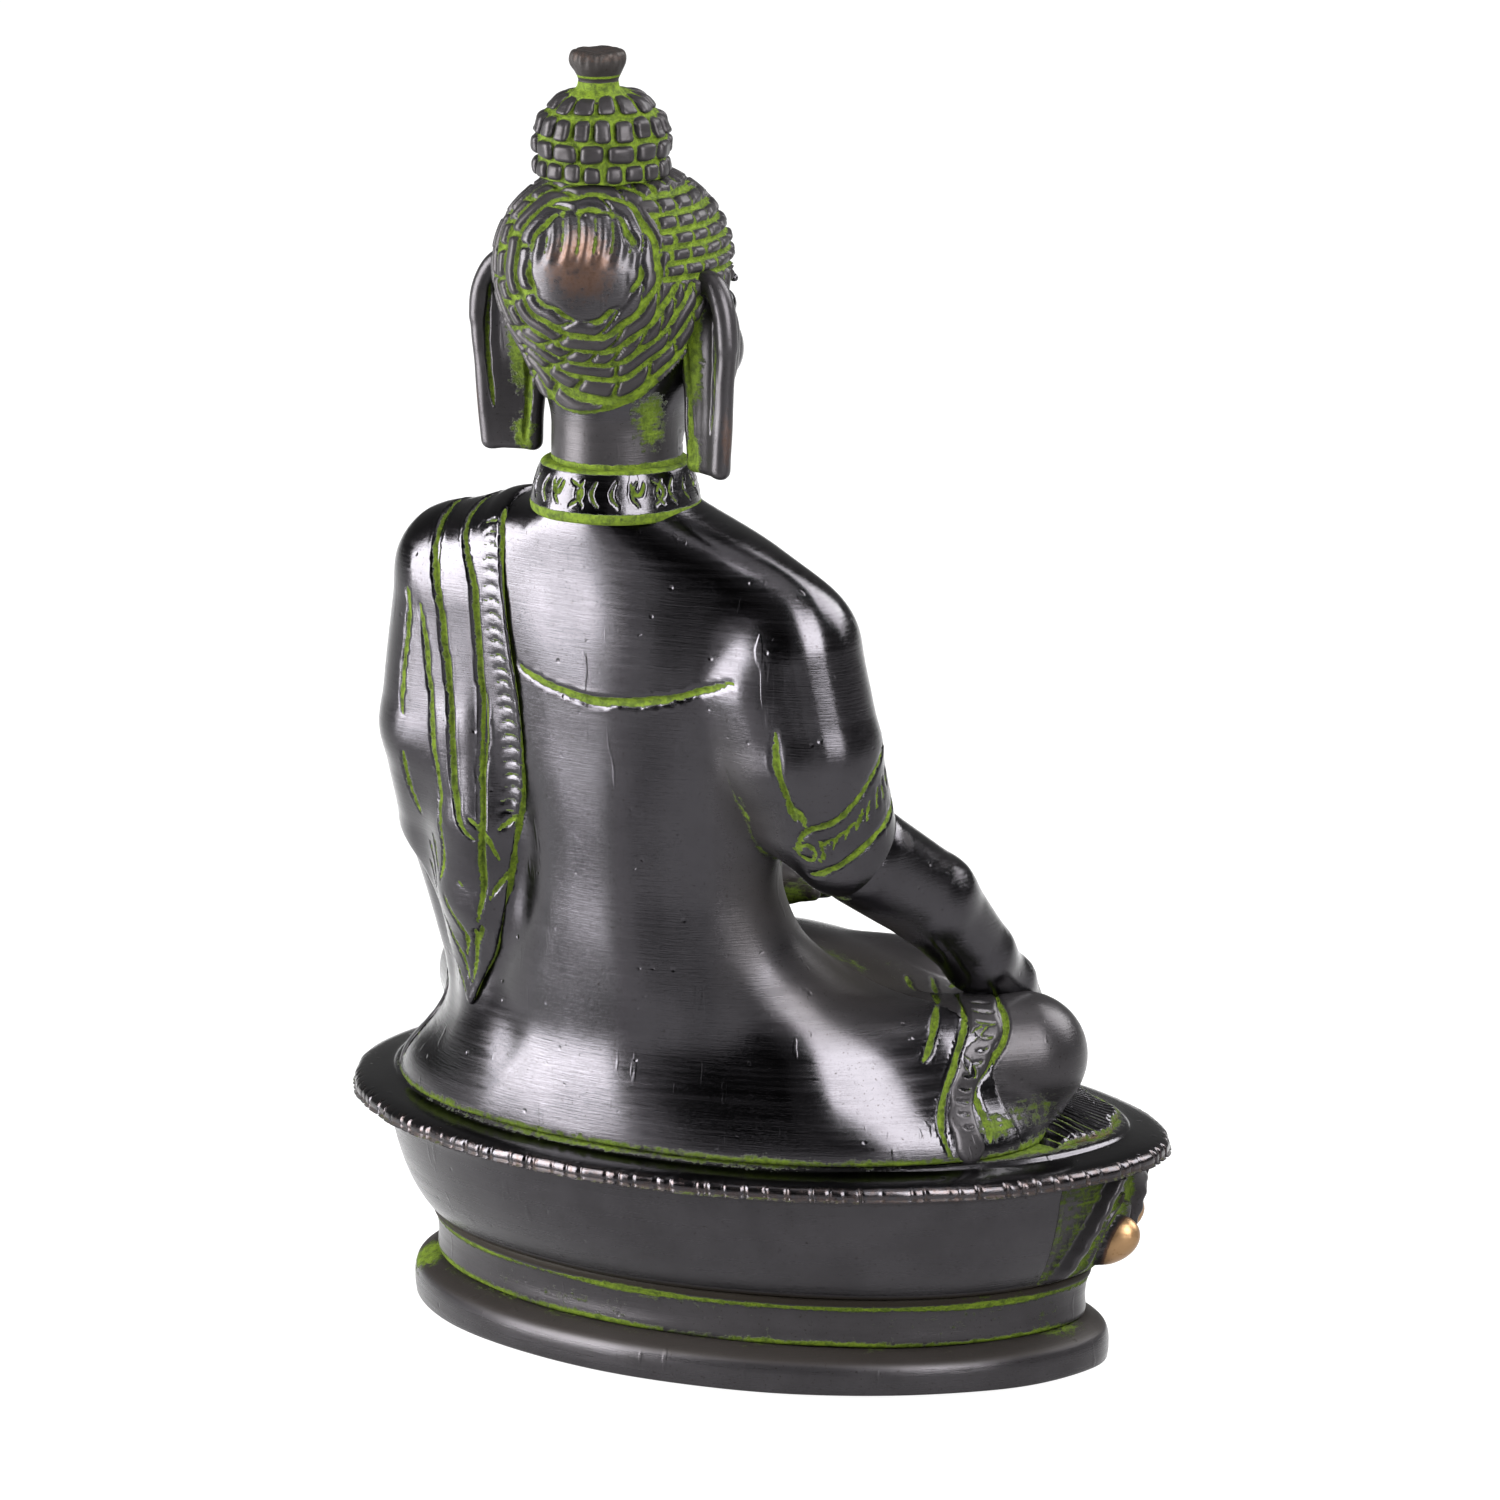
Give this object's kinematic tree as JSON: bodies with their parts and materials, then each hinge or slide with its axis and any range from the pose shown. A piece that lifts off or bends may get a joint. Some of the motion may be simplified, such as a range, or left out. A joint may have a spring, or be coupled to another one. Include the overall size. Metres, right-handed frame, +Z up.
{
  "type": "buddha statue",
  "caption": "Seated Buddha figure in a draped robe on an oval lotus pedestal, cast brass with a dark antique finish and green patina.",
  "frame": {"origin": "under the middle of the whole statue's box, level with the foot ring's flat underside", "axes": "+Z up, the figure faces -Y, its right hand is on the -X side"},
  "size_m": [0.1336, 0.0952, 0.199],
  "materials": {
    "antique_brass": "dark gunmetal antique finish, brushed and waxed, with green patina in the hollows",
    "patina_brass": "dark antique finish with a yellow-green patina brushed into the engraving",
    "worn_brass": "antique finish rubbed back to copper-brown on its edges",
    "zinc_steel": "plain zinc-plated steel"
  },
  "bodies": {
    "root": {"foot_ring": "antique_brass", "pedestal_waist": "patina_brass", "lotus_drum": "antique_brass", "seat_plate": "worn_brass", "lotus_petal_1": "antique_brass", "lotus_petal_2": "antique_brass", "lotus_petal_3": "antique_brass", "lotus_petal_4": "antique_brass", "lotus_petal_5": "antique_brass", "lotus_petal_6": "antique_brass", "lotus_petal_7": "antique_brass", "lotus_petal_8": "antique_brass", "lotus_petal_9": "antique_brass", "figure_stud": "zinc_steel", "stud_washer": "zinc_steel", "stud_nut": "zinc_steel", "body_shell": "antique_brass", "crossed_legs": "antique_brass", "shoulder_sash": "antique_brass", "right_thigh_hem": "patina_brass", "left_thigh_hem": "patina_brass", "robe_fan": "antique_brass", "right_forearm": "antique_brass", "left_forearm": "antique_brass", "collar_band": "patina_brass", "head": "antique_brass", "right_ear": "patina_brass", "left_ear": "patina_brass", "ushnisha": "patina_brass", "finial": "worn_brass"}
  },
  "joints": []
}
